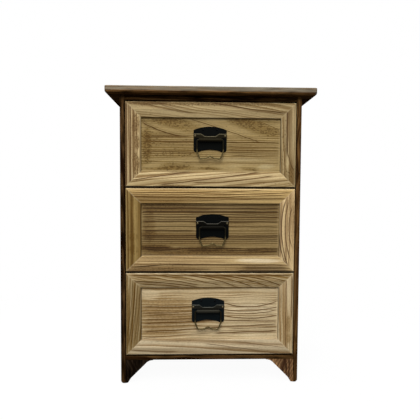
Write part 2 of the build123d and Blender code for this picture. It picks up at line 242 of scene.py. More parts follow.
floor_mesh = bpy.data.meshes.new("floor")
shape = bmesh.new()
bmesh.ops.create_grid(shape, x_segments=1, y_segments=1, size=FLOOR_HALF)
shape.to_mesh(floor_mesh)
shape.free()
floor = bpy.data.objects.new("floor", floor_mesh)
bpy.context.scene.collection.objects.link(floor)

pale, ground = empty_material("pale_floor")
spot = ground.node("TexCoord").output("Object")
reach = ground.node("VectorMath", {"operation": "LENGTH"}, {0: spot}, output=1)
shown = seen_directly(ground)
shadow = (1 - smooth(reach, SHADOW_NEAR, SHADOW_FAR)) * SHADOW_SHARE
steady = ground.node("Emission", {}, {"Color": WHITE, "Strength": 1.0})
lit = ground.node("BsdfDiffuse", {}, {"Color": mixed(DULL_FLOOR, PALE_FLOOR, shown)})
both = ground.node("MixShader", {}, {0: 1 - shown + shown * shadow, 1: steady, 2: lit})
ground.node("OutputMaterial", {}, {"Surface": both})
floor_mesh.materials.append(pale)
print("floor:", 2 * FLOOR_HALF, "m across")

# %% [markdown]
# Wood is the main finish. An image of planks would look flat on the edges, so the wood here is
# solid: growth rings around a pith line that runs along each board. Everything is counted in
# millimetres from the middle of a board: u along its grain, v across it and w into it.

# %% Where a point lies in its board
MM = 1000.0
AXES = "XYZ"


def board_middle(board):
    low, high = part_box(board)
    return dict(zip(AXES, (low + high) / 2))


def board_half(board):
    """Half of a board's size on each axis, in millimetres."""
    low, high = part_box(board)
    return dict(zip(AXES, (high - low) / 2 * MM))


def grain_axes(start, board, along, face):
    """Millimetres from the middle of a board: along its grain, across it and into it."""
    middle = board_middle(board)
    place = start.node("TexCoord").output("Object")
    parts = place.node("SeparateXYZ", {}, {0: place})
    across = next(axis for axis in AXES if axis not in (along, face))
    return [(parts.output(axis) - middle[axis]) * MM for axis in (along, across, face)]


def streaks(u, v, w, length, width, seed, detail=2.0):
    """Noise from -1 to 1 whose spots are drawn out along the grain."""
    spot = u.node("CombineXYZ", {}, {0: u / length + seed, 1: v / width + seed, 2: w / width})
    noise = u.node("TexNoise", {}, {"Vector": spot, "Scale": 1.0, "Detail": detail})
    return noise * 2 - 1


print("half the top board's length:", round(float(board_half("top_board")["X"]), 2), "mm")

# %% [markdown]
# A ring starts pale and ends in a dark line that breaks off sharply. The singed finish of these
# drawers makes the lines nearly black, some more than others, and they come and go along the
# board. A cut says how the board was sawn: how wide a ring is, where the pith lies across the
# board and behind it, how much it leans and tilts along the board, and how wavy it is. Near the
# pith a board shows arches, and far from it straight stripes. Low and high keep the rings to one
# strip of the board.

# %% Growth rings
Cut = namedtuple(
    "Cut",
    "ring pith_across pith_deep lean tilt wave wave_length strength low high",
    defaults=(0.0, 0.0, 1.0, 80.0, 0.6, None, None),
)
WAVE_NARROWING = 4
UNEVEN_PACE = 0.45
UNEVEN_YEARS = 2.2
LATE_RISE = 0.48, 0.74
LATE_FALL = 0.9, 1.0
EARLY_RISE = 0.0, 0.06
EARLY_FALL = 0.1, 0.45
WEAKEST_RING = 0.4
FADED_RING = 0.5
FADING_STREAK = 60.0, 5.0
FADING_EDGE = -0.7, 0.4
STRIP_OUTSIDE = 5
STRIP_INSIDE = 2


def rings(u, v, w, cut, seed):
    """Masks of the dark end of each growth ring, and of the pale start of the next."""
    bend = streaks(u, v, w, cut.wave_length, cut.wave_length / WAVE_NARROWING, seed, 1.0) * cut.wave
    across = v - cut.pith_across + u * cut.lean + bend
    deep = w - cut.pith_deep + u * cut.tilt
    years = (across * across + deep * deep) ** 0.5 / cut.ring
    pace = {"W": years * UNEVEN_PACE + seed, "Scale": 1.0, "Detail": 1.0}
    years = years + u.node("TexNoise", {"noise_dimensions": "1D"}, pace) * UNEVEN_YEARS
    season = u.math("FRACT", years)
    year = u.math("FLOOR", years)
    vigour = u.node("TexWhiteNoise", {"noise_dimensions": "1D"}, {"W": year + seed})
    late = smooth(season, *LATE_RISE) * (1 - smooth(season, *LATE_FALL))
    early = smooth(season, *EARLY_RISE) * (1 - smooth(season, *EARLY_FALL))
    fading = smooth(streaks(u, v, w, *FADING_STREAK, seed + 2, 1.0), *FADING_EDGE)
    late = late * (vigour * vigour * (1 - WEAKEST_RING) + WEAKEST_RING)
    late = late * (fading * (1 - FADED_RING) + FADED_RING)
    if cut.high is not None:
        rise = smooth(v, cut.low - STRIP_OUTSIDE, cut.low + STRIP_INSIDE)
        late = late * rise * falling(v, cut.high - STRIP_INSIDE, cut.high + STRIP_OUTSIDE)
    return late, early


print("a cut has", len(Cut._fields), "values")

# %% [markdown]
# The lines that catch the eye on each drawer front are drawn one by one, as an artist would:
# three points give a smooth curve across the board. Clouds are soft spots where the wood is
# darker or paler than around them. Both are measured in millimetres from the middle of the board,
# along the grain and across it.

# %% Veins and clouds
Vein = namedtuple("Vein", "start middle end width depth", defaults=(1.6, 1.0))
Cloud = namedtuple("Cloud", "along across half_length half_width lean amount")
LEVEL_RISE = 0.2
VEIN_END = 7.0
SOFT_SIDE = -0.75, -0.2
SHARP_SIDE = 0.08, 0.35
COMPANION_GAP = 2.6
COMPANION_WIDTH = 0.8
COMPANION_SHARE = 0.28
CLOUD_FADE = 0.1, 1.3


def level(height, reach, width=1.8, depth=0.9):
    """A vein that runs straight along the grain, as far to the left as to the right."""
    return Vein((-reach, height), (0, height + LEVEL_RISE), (reach, height), width, depth)


def fine_line(gap, width):
    """A dark line where gap is 0, soft on its lower side and sharp on its upper side."""
    soft = smooth(gap, *(width * share for share in SOFT_SIDE))
    return soft * falling(gap, *(width * share for share in SHARP_SIDE))


def drawn_vein(u, v, vein):
    """One dark line through three points, with a fainter one on each side, fading at its ends."""
    (u1, v1), (u2, v2), (u3, v3) = vein.start, vein.middle, vein.end
    first_slope = (v2 - v1) / (u2 - u1)
    bend = ((v3 - v2) / (u3 - u2) - first_slope) / (u3 - u1)
    slope = first_slope - bend * (u1 + u2)
    height = v1 - first_slope * u1 + bend * u1 * u2
    curve = u.math("MULTIPLY_ADD", u.math("MULTIPLY_ADD", u, bend, slope), u, height)
    gap = v - curve
    beside = fine_line(abs(gap) - COMPANION_GAP, vein.width * COMPANION_WIDTH) * COMPANION_SHARE
    half = (u3 - u1) / 2
    reach = falling(abs(u - (u1 + u3) / 2), half - VEIN_END, half + VEIN_END, vein.depth)
    return (fine_line(gap, vein.width) + beside) * reach


def drawn_cloud(u, v, cloud):
    """One soft spot, stretched along the grain and leaning with it."""
    du = u - cloud.along
    dv = v - cloud.across - du * cloud.lean
    far = (du / cloud.half_length) ** 2 + (dv / cloud.half_width) ** 2
    return falling(far, *CLOUD_FADE, cloud.amount)


print("a vein fades over", 2 * VEIN_END, "mm at each end")

# %% [markdown]
# A moulding's outer rim is pale, partly worn and partly a painted highlight where its rounding
# catches the light. Painted shade darkens its outer foot, in the gap to its neighbour, and its
# inner lip, and a thin painted highlight shows where two mouldings meet at the mitre. A panel is
# calmer at its ends, because singeing and brushing don't reach there. Its right and lower borders
# get a thin painted highlight, and painted shade lies round it in its recess. The edges could be
# painted by hand, but a distance to the edge does it for all boards alike.

# %% Edges of the drawer fronts
# Edge: the pale mask is wear and painted highlight, the second mask is painted shade in gaps,
# recesses and under edges, and calm is how much figure shows.
Edge = namedtuple("Edge", "pale grime calm", defaults=(1.0,))
Moulding = namedtuple("Moulding", "outward dirt lip")
RIM_LINE = 1.2
RIM_SOFT = 0.4, 1.2
MITRE_LINE = 0.6
MITRE_SOFT = 0.2, 0.8
MITRE_SHARE = 0.15
GAP_SHADE_SOFT = 0.6
GAP_SHADE_SHARE = 0.9
LIP_SOFT = 0.6, 1.8
PANEL_CALM = 0.6, 2.6
PANEL_SIDE_LINE = 1.8
PANEL_FOOT_LINE = 1.4
PANEL_FOOT_SOFT = 0.3, 1.0
PANEL_FOOT_SHARE = 0.2
PANEL_SHADE_REACH = 0.1, 1.0
PANEL_SHADE_SHARE = 0.12


def moulding_edge(u, v, half_length, half_width, moulding, rim):
    """The pale rim and mitres of a moulding, wear and painted highlight, and the painted shade on
    its outer and inner edge.
    """
    inside = half_width - v * moulding.outward
    mitre = half_length - abs(u) - inside
    pale = falling(abs(inside - RIM_LINE), *RIM_SOFT, rim)
    mitre_highlight = falling(abs(mitre - MITRE_LINE), *MITRE_SOFT, MITRE_SHARE)
    # Painted shade: the outer foot lies in the gap between drawers, and the inner lip beside the
    # sunk panel.
    outer = falling(inside, moulding.dirt - GAP_SHADE_SOFT, moulding.dirt, GAP_SHADE_SHARE)
    inner = falling(2 * half_width - inside, *LIP_SOFT, moulding.lip)
    return Edge(highest(pale, mitre_highlight), highest(outer, inner))


def panel_edge(u, v, half_length, half_width, rim):
    """The calm ends of a panel, the painted highlight on its right and lower border, and the
    painted shade round it.
    """
    right = half_length - u
    side = lowest(half_length + u, right)
    nearest = lowest(side, half_width - abs(v))
    # Painted highlights on the right and lower border, and painted shade round the sunk panel.
    side_highlight = falling(abs(right - PANEL_SIDE_LINE), *RIM_SOFT, rim)
    foot_highlight = falling(abs(half_width + v - PANEL_FOOT_LINE), *PANEL_FOOT_SOFT, PANEL_FOOT_SHARE)
    grime = falling(nearest, *PANEL_SHADE_REACH, PANEL_SHADE_SHARE)
    return Edge(highest(side_highlight, foot_highlight), grime, smooth(side, *PANEL_CALM))


print("the worn line lies", RIM_LINE, "mm inside the rim")

# %% [markdown]
# The top board takes the most wear. The upper half of its edge is pale grey in patches, partly
# rubbed and partly a painted sheen of the light from above; the pale fades over the board itself.
# The lower half of the edge faces down and gets painted shade.

# %% Edge of the top board
RUBBED_PATCHES = 40.0, 2.5, 31.0
PATCH_EDGE = -0.4, 0.35
RUBBED_HEIGHT = -2.2, 0.4
RUBBED_REACH = 3.0, 16.0
RUBBED_LEAST = 0.4
RUBBED_SHARE = 0.7
RUBBED_CALM = 0.5
UNDER_EDGE = -4.5, -2.0
UNDER_EDGE_SHARE = 0.3


def top_rim(u, v, w):
    """The pale upper half of the top board's edge, worn and with painted sheen, fading on the
    board, and the painted shade on its lower half.
    """
    half = board_half("top_board")
    nearest = lowest(half["X"] - abs(u), half["Y"] + v)
    patches = smooth(streaks(u, v, w, *RUBBED_PATCHES), *PATCH_EDGE)
    rubbed_and_lit = smooth(w, *RUBBED_HEIGHT) * falling(nearest, *RUBBED_REACH)
    rubbed_and_lit = rubbed_and_lit * (patches * (1 - RUBBED_LEAST) + RUBBED_LEAST)
    pale = rubbed_and_lit * RUBBED_SHARE
    # Painted shade on the lower half of the edge, which faces down.
    grime = falling(w, *UNDER_EDGE, UNDER_EDGE_SHARE)
    return Edge(pale, grime, 1 - rubbed_and_lit * RUBBED_CALM)


print("wear reaches", RUBBED_REACH[1], "mm over the top board")

# %% [markdown]
# The figure of a board is a set of masks. The rings and veins wander a little, as grain does, and
# fray at their ends. Clouds come from the drawn ones and from a broad noise, so no board is even.
# Fibres are long and thin, specks are short, and pores are the specks that open up where the wood
# is cloudy.

# %% Figure of a board
Look = namedtuple("Look", "shade richness veins clouds edge_at", defaults=(1.0, 1.0, (), (), None))
Figure = namedtuple("Figure", "lines early drawn cloudy fibres specks pores")
WANDER_STREAK = 26.0, 9.0
WANDER_SIZE = 0.8
FRAY_STREAK = 30.0, 4.0
FRAY_SIZE = 1.5
CLOUD_STREAK = 140.0, 22.0
CLOUD_SIZE = 0.7
FIBRE_STREAK = 32.0, 1.5
SPECK_STREAK = 2.8, 1.5
PORES_IN_CLOUDS = 0.9
PORE_EDGE = 0.5, 0.85


def wood_figure(u, v, w, cut, look, seed):
    """The masks of one board: its rings, veins, clouds, fibres, specks and pores."""
    near = v + streaks(u, v, w, *WANDER_STREAK, seed + 1, 1.0) * WANDER_SIZE
    frayed = u + streaks(u, v, w, *FRAY_STREAK, seed + 9, 0.0) * FRAY_SIZE
    lines, early = rings(u, near, w, cut, seed)
    drawn = 0.0
    for vein in look.veins:
        drawn = highest(drawn_vein(frayed, near, vein), drawn)
    cloudy = streaks(u, v, w, *CLOUD_STREAK, seed + 3, 1.0) * CLOUD_SIZE
    for cloud in look.clouds:
        cloudy = cloudy + drawn_cloud(frayed, near, cloud)
    fibres = streaks(u, v, w, *FIBRE_STREAK, seed + 5)
    specks = streaks(u, v, w, *SPECK_STREAK, seed + 7, 0.0)
    pores = smooth(specks + cloudy * PORES_IN_CLOUDS, *PORE_EDGE)
    return Figure(lines, early, drawn, cloudy, fibres, specks, pores)


print("masks of a board:", ", ".join(Figure._fields))

# %% [markdown]
# The colour starts from a pale and a middle tone that drift into each other with the clouds. The
# palest clouds take the tone of the edges, which is pale wood and, on one rail, a painted sheen,
# and the darkest a warm one. Then the rings, the veins and the pores darken it. The carcass is
# scorched on top of that, in streaks. A board's shade makes all of it lighter or darker, and its
# richness stronger or greyer. Mostly that is because no two boards of the cabinet come from the
# same plank;
# on the foot brackets and the rail under the top, the shade is painted light and shade.

# %% Colour of a board
Tone = namedtuple("Tone", "light middle dark warm edge specular pores scorch", defaults=(0.3, 0.0))
FIBRE_CONTRAST = 0.32
SPECK_CONTRAST = 0.14
LINE_DRIFT = 0.3
EARLY_DRIFT = 0.5
DRIFT_EDGE = -0.45, 0.55
PALE_CLOUD = -1.6, -0.7
WARM_CLOUD = 0.6, 1.8
CLOUD_TINT = 0.8
VEIN_HAZE = 0.6
HAZE_EDGE = 0.05, 0.8
HAZE_SHARE = 0.6
RING_SHARE = 0.85
VEIN_SHARE = 0.9
SCORCH_STREAK = 26.0, 3.2
SCORCH_PATCH = 160.0, 16.0
SCORCH_PATCH_SHARE = 0.4
SCORCH_EDGE = -0.3, 0.4


def scorched(u, v, w, seed):
    """A mask of the places that the flame has blackened."""
    burnt = streaks(u, v, w, *SCORCH_STREAK, seed + 11, 4.0)
    burnt = burnt + streaks(u, v, w, *SCORCH_PATCH, seed + 13, 1.0) * SCORCH_PATCH_SHARE
    return smooth(burnt, *SCORCH_EDGE)


def wood_colour(place, figure, tone, strength, look, seed):
    """The colour of a board before its edges are worn."""
    drift = figure.cloudy + figure.lines * LINE_DRIFT - figure.early * EARLY_DRIFT
    colour = mixed(tone.light, tone.middle, smooth(drift, *DRIFT_EDGE))
    colour = mixed(colour, tone.edge, falling(figure.cloudy, *PALE_CLOUD, CLOUD_TINT))
    colour = mixed(colour, tone.warm, smooth(figure.cloudy, *WARM_CLOUD) * CLOUD_TINT)
    if tone.scorch:
        colour = mixed(colour, tone.dark, scorched(*place, seed) * tone.scorch)
    haze = smooth(figure.lines + figure.drawn * VEIN_HAZE, *HAZE_EDGE) * HAZE_SHARE
    colour = mixed(colour, tone.warm, haze)
    colour = mixed(colour, tone.dark, figure.lines * (strength * RING_SHARE))
    if look.veins:
        colour = mixed(colour, tone.dark, figure.drawn * VEIN_SHARE)
    colour = mixed(colour, tone.dark, figure.pores * tone.pores)
    brightness = (figure.fibres * FIBRE_CONTRAST - figure.specks * SPECK_CONTRAST + 1) * look.shade
    tint = {"Color": colour, "Saturation": look.richness, "Value": brightness}
    return colour.node("HueSaturation", {}, tint)


print("tones of a wood:", ", ".join(Tone._fields[:5]))

# %% [markdown]
# The same masks sink the surface a little, as brushing does to soft wood, and make the lines
# duller than the wood between them. Each board gets a material of its own, because its figure is
# its own.

# %% Wood
# The colour of the painted shade that edges get in gaps, recesses and under overhangs.
SHADE_COLOUR = paint(14, 8, 4)
FIBRE_RELIEF = 0.3
LINE_RELIEF = 0.6
PORE_RELIEF = 0.4
RELIEF_STRENGTH = 0.4
RELIEF_DEPTH = 0.0003
DULLNESS = 0.55
DULLNESS_SWING = 0.08


def finish_wood(start, colour, specular, grooves, fibres):
    """The shader of a wood: dull, with its lines a little sunk."""
    height = fibres * FIBRE_RELIEF - grooves
    relief = {"Strength": RELIEF_STRENGTH, "Distance": RELIEF_DEPTH, "Height": height}
    bump = start.node("Bump", {}, relief)
    sockets = {
        "Base Color": colour,
        "Roughness": DULLNESS + fibres * DULLNESS_SWING + grooves * DULLNESS_SWING,
        "Specular IOR Level": specular,
        "Normal": bump,
    }
    shader = start.node("BsdfPrincipled", {}, sockets)
    start.node("OutputMaterial", {}, {"Surface": shader})


def wood(board, along, face, tone, cut, seed, look=Look()):
    """A solid wood for one board. Cut and look give its figure, and the tone its colours."""
    material, start = empty_material(board + "_wood")
    place = grain_axes(start, board, along, face)
    figure = wood_figure(*place, cut, look, seed)
    edge = look.edge_at(*place) if look.edge_at else None
    if edge:
        figure = figure._replace(lines=figure.lines * edge.calm, drawn=figure.drawn * edge.calm)
    colour = wood_colour(place, figure, tone, cut.strength, look, seed)
    if edge:
        # The pale of an edge is wear and painted highlight; its second mask lays painted shade.
        colour = mixed(colour, tone.edge, edge.pale)
        colour = mixed(colour, SHADE_COLOUR, edge.grime)
    grooves = figure.lines * LINE_RELIEF + figure.pores * PORE_RELIEF
    finish_wood(start, colour, tone.specular, grooves, figure.fibres)
    return material


def dress(board, material):
    """Give a CAD node one material all over."""
    slots = nodes[board].material_slots
    for slot in slots:
        slot.material = material
    if not slots:
        nodes[board].data.materials.append(material)


print("wood sinks by up to", RELIEF_DEPTH * MM, "mm")

# %% [markdown]
# A tone is the set of colours of one wood: its light and its middle wood, its dark lines, the
# warm wood round them, and the pale of its edges, which serves both for wear and for painted
# highlights. The carcass is scorched nearly black and then brushed, so light wood shows only in
# streaks. The boards that nobody sees stay pale, some of them plywood and the others bare wood.

# %% Tones of the carcass
DARK = Tone(
    light=paint(112, 81, 45),
    middle=paint(76, 51, 27),
    dark=paint(13, 5, 2),
    warm=paint(66, 36, 14),
    edge=paint(142, 134, 116),
    specular=0.0,
    pores=0.5,
    scorch=0.9,
)
PLY = Tone(
    light=paint(198, 170, 128),
    middle=paint(178, 148, 104),
    dark=paint(140, 108, 70),
    warm=paint(170, 132, 84),
    edge=paint(205, 180, 140),
    specular=0.25,
)
BARE = Tone(
    light=paint(216, 192, 150),
    middle=paint(198, 170, 126),
    dark=paint(160, 126, 84),
    warm=paint(186, 148, 100),
    edge=paint(222, 200, 160),
    specular=0.25,
)
print("the carcass is scorched by", DARK.scorch)

# %% [markdown]
# No two boards of the carcass are alike. The left side is darker than the right one. The brackets
# between the feet carry painted light: the right one is brightened as if lit from the right and the
# left one darkened nearly black as if in shade, and the rail under the top board is darkened with
# painted shade. One material for all of them would be less work, but the cabinet would look
# moulded instead of joined.

# %% Boards of the carcass
Plank = namedtuple("Plank", "board along face tone cut look", defaults=(Look(),))
PLANK_SEED_STEP = 5.3

planks = [
    Plank(
        "top_board", "X", "Z", DARK,
        Cut(3.4, -20.0, -70.0, tilt=0.05, wave=3.0, strength=0.8),
        Look(edge_at=top_rim),
    ),
    Plank(
        "left_side_panel", "Z", "X", DARK,
        Cut(3.6, 30.0, 60.0, tilt=0.06, wave=3.0, strength=0.9),
        Look(0.55, 0.97),
    ),
    Plank(
        "right_side_panel", "Z", "X", DARK,
        Cut(3.8, -25.0, -65.0, tilt=-0.05, wave=3.0, strength=0.85),
        Look(0.89),
    ),
    Plank("bottom_board", "X", "Z", DARK, Cut(3.6, 15.0, -60.0, tilt=0.05, wave=3.0), Look(0.52)),
    # Painted shade: the rail under the top board is made dark.
    Plank("front_top_rail", "X", "Z", DARK, Cut(3.2, 40.0, -50.0, tilt=0.04, wave=2.0), Look(0.4)),
    Plank("rear_top_rail", "X", "Z", BARE, Cut(3.2, -30.0, -50.0, tilt=0.04, wave=2.0)),
    # Painted shade: the left bracket is darkened as if in shade.
    Plank(
        "left_foot_bracket", "Z", "Y", DARK,
        Cut(3.0, 30.0, 40.0, lean=0.5, wave=1.5),
        Look(0.16, 0.75),
    ),
    # Painted light: the right bracket is brightened as if lit from the right.
    Plank(
        "right_foot_bracket", "Z", "Y", DARK,
        Cut(3.0, -30.0, 40.0, lean=-0.5, wave=1.5, strength=0.35),
        Look(2.2, 0.9),
    ),
    Plank(
        "back_panel", "Z", "Y", PLY,
        Cut(7.0, 35.0, 40.0, tilt=0.16, wave=8.0, wave_length=160.0),
    ),
]
for number, plank in enumerate(planks):
    seed = number * PLANK_SEED_STEP
    material = wood(plank.board, plank.along, plank.face, plank.tone, plank.cut, seed, plank.look)
    dress(plank.board, material)
print("carcass boards:", len(planks))

# %% [markdown]
# The drawer fronts are what the cabinet is bought for, so each of their boards gets its own
# figure, and each drawer its own tones. The upper and the lower one are pale, and the middle one
# is browner.

# %% Tones of the drawer fronts
UPPER = Tone(
    light=paint(184, 162, 118),
    middle=paint(141, 118, 77),
    dark=paint(72, 45, 14),
    warm=paint(120, 90, 44),
    edge=paint(214, 196, 154),
    specular=0.12,
    pores=0.5,
)
MIDDLE = Tone(
    light=paint(174, 148, 98),
    middle=paint(124, 96, 52),
    dark=paint(52, 32, 10),
    warm=paint(108, 77, 35),
    edge=paint(222, 205, 170),
    specular=0.12,
    pores=0.3,
)
LOWER = Tone(
    light=paint(190, 170, 132),
    middle=paint(146, 121, 80),
    dark=paint(75, 48, 16),
    warm=paint(128, 95, 46),
    edge=paint(217, 201, 166),
    specular=0.12,
    pores=0.15,
)
print("tones of the fronts:", len((UPPER, MIDDLE, LOWER)))

# %% [markdown]
# A front is four mouldings, mitred at the corners, round a thin panel that sits in their grooves.
# The grain runs along each moulding and across the panel. The edges get wear, painted highlights
# and painted shade by where a board sits, so each board gets the function that fits its place.

# %% Boards of the drawer fronts
# The second number darkens a moulding's outer foot with painted shade, and the third its inner lip.
MOULDINGS = {
    "frame_top": Moulding(1, 0.7, 0.0),
    "frame_bottom": Moulding(-1, 1.5, 0.0),
    "frame_left": Moulding(-1, 0.3, 0.5),
    "frame_right": Moulding(1, 0.3, 0.5),
}
STILES = "frame_left", "frame_right"
GROOVE_DEPTH = 4.85
FRONT_SEED_STEP = 7.7
UPPER_SEED = 60.0
MIDDLE_SEED = 110.0
LOWER_SEED = 160.0
# rim sets the pale outer rim of a moulding and the pale right border of a panel: wear and painted
# highlight together.
Front = namedtuple("Front", "part shade richness cut veins clouds rim", defaults=((), (), 0.04))


def edge_of_front(board, part, along, rim):
    """The function that gives the edges of one board of a drawer front wear, painted highlights and
    painted shade.
    """
    half = board_half(board)
    across = "X" if along == "Z" else "Z"
    if part == "front_panel":
        shown_half = half[along] - GROOVE_DEPTH, half[across] - GROOVE_DEPTH
        return lambda u, v, w: panel_edge(u, v, *shown_half, rim)
    return lambda u, v, w: moulding_edge(u, v, half[along], half[across], MOULDINGS[part], rim)


def dress_drawer_front(drawer, tone, fronts, seed):
    """Wood for the four mouldings and the panel of one drawer front."""
    for number, front in enumerate(fronts):
        board = f"{drawer}_{front.part}"
        along = "Z" if front.part in STILES else "X"
        edge_at = edge_of_front(board, front.part, along, front.rim)
        look = Look(front.shade, front.richness, front.veins, front.clouds, edge_at)
        board_seed = seed + number * FRONT_SEED_STEP
        dress(board, wood(board, along, "Y", tone, front.cut, board_seed, look))
    veins = sum(len(front.veins) for front in fronts)
    print(drawer, "front:", len(fronts), "boards,", veins, "veins")


print("a groove hides", GROOVE_DEPTH, "mm of a panel")

# %% [markdown]
# The upper drawer is pale. The lines of its top rail slant down to the right and those of its
# bottom rail rise, because both were sawn at a slant to the grain. The left stile has straight
# dark stripes, and the right one a long line beside pale wood. Growth rings alone would put such
# lines anywhere, so they are drawn.

# %% Upper drawer frame
upper_frame = [
    Front(
        "frame_top", 0.9, 1.0, Cut(4.2, -60.0, 60.0, lean=0.16, wave=2.5, strength=0.35),
        [
            Vein((-97, 9.5), (-70, 2), (-27, -5), 2.0, 0.55),
            Vein((-71, 7), (-48, 0), (-24, -5), 2.0, 0.65),
            Vein((3, 9), (45, 3), (104, -3), 2.2),
        ],
        # The second cloud is a painted shadow of the top board's overhang along the rail's upper
        # edge.
        [Cloud(-90, 8, 30, 3, 0.0, 0.6), Cloud(0, 9, 130, 4, 0.0, 0.6)],
    ),
    Front(
        "frame_bottom", 0.99, 1.0, Cut(4.4, 60.0, 70.0, lean=-0.12, wave=2.0, strength=0.35),
        [
            Vein((-111, -1), (-71, 5), (-27, 12), 2.0),
            Vein((-70, -7), (0, 1.5), (68, 11), 2.4),
            Vein((-25, -4), (39, -1), (85, 6), 2.0, 0.9),
            Vein((20, -8), (70, -4), (112, 0), 1.6, 0.7),
        ],
        [Cloud(-54, -9.5, 30, 2.2, 0.0, 0.9)],
    ),
    Front(
        "frame_left", 1.12, 0.96, Cut(3.0, -60.0, 30.0, lean=0.01, wave=0.8, strength=0.7),
        [
            level(-8.6, 60, 3.2, 1.0),
            level(-3.0, 60, 2.8, 1.0),
            level(1.4, 60, 2.0, 0.8),
        ],
        [
            Cloud(28, 4.5, 18, 5, 0.0, 0.9),
            Cloud(2, 5.5, 12, 4, 0.0, 0.9),
            Cloud(-28, 4.5, 18, 5, 0.0, 0.9),
            Cloud(0, -6.0, 60, 2.6, 0.0, -0.35),
        ],
    ),
    Front(
        "frame_right", 0.8, 1.0, Cut(5.0, 50.0, 60.0, lean=0.03, wave=2.0, strength=0.3),
        [
            Vein((-14, -1.2), (15, -1.6), (50, -1.9), 2.8, 1.0),
            Vein((-36, 8.6), (-24, 3.4), (-10, -1.2), 2.4, 0.8),
            level(8.6, 60, 1.6, 0.5),
        ],
        [
            Cloud(15, 3.3, 44, 4.6, 0.0, -0.9),
            Cloud(5, -6, 55, 4.6, 0.0, 0.5),
            Cloud(-44, 2, 18, 9, 0.0, 0.6),
        ],
    ),
]
print("upper frame:", [front.part for front in upper_frame])

# %% [markdown]
# Two long lines slant down across the upper panel, with speckled patches above them and straight
# lines below. The cut keeps the rings to a strip in the middle, and pale clouds clear the wood
# under it.

# %% Upper drawer panel
upper_panel = Front(
    "front_panel", 0.67, 1.12,
    Cut(2.7, 70.0, 20.0, wave=1.0, wave_length=140.0, strength=1.15, low=-23.0, high=10.0),
    [
        Vein((-97, 31.5), (-72, 20), (-40, 12.4), 2.4),
        Vein((-27, 36), (24, 20.2), (68, 5), 1.5),
        Vein((66, 34.5), (86, 27), (100, 21.5), 1.3, 0.7),
        Vein((-94, 12.6), (-60, 12.2), (-30, 12.4), 1.9, 0.9),
        Vein((-94, 5.6), (-60, 5.2), (-22, 5.5), 1.8, 0.9),
        Vein((-94, -9.7), (-60, -9.5), (-20, -10), 1.8, 0.8),
        Vein((24, 4.4), (60, 4.6), (97, 4.8), 1.6, 0.9),
        Vein((24, -1.6), (60, -2), (97, -2), 1.6, 0.9),
        Vein((24, -5.8), (60, -6.2), (97, -6), 1.6, 0.9),
        Vein((24, -10), (60, -10.2), (97, -10), 1.6, 0.9),
        Vein((30, -14.2), (65, -14.5), (97, -14), 1.6, 0.8),
        Vein((-40, -24.6), (30, -25), (99, -25), 1.3, 0.8),
    ],
    [
        Cloud(-42, 28, 46, 10, -0.25, 0.6),
        Cloud(-90, 0, 7, 28, 0.0, 0.5),
        Cloud(60, 27, 46, 10, -0.3, 0.6),
        Cloud(-70, 0, 60, 36, 0.0, 0.5),
        Cloud(0, -20.5, 100, 4, 0.0, -0.6),
        Cloud(55, -19.5, 60, 3.5, 0.0, -0.5),
        Cloud(55, -31, 55, 6, 0.0, -0.5),
        # These two clouds are painted shadow under the top rail's lip.
        Cloud(-70, 37, 70, 8, 0.0, 0.4),
        Cloud(72, 37, 50, 8, 0.0, 0.4),
        Cloud(-80, -28, 16, 4, 0.1, -0.4),
        Cloud(-50, -32, 26, 3.4, 0.06, 0.6),
        Cloud(0, -33, 18, 2.6, 0.0, 0.5),
        Cloud(56, -33, 20, 3.4, -0.12, 0.8),
        Cloud(80, -30, 17, 6, 0.2, -0.7),
        Cloud(34, -29, 16, 4, 0.1, -0.5),
    ],
    rim=0.05,
)
upper_fronts = [*upper_frame, upper_panel]
dress_drawer_front("upper", UPPER, upper_fronts, UPPER_SEED)

# %% [markdown]
# The middle drawer is singed darkest. The lines of its rails are long and nearly straight, and
# its left stile is almost plain. Its right stile was sawn near the pith, so its lines are arches.

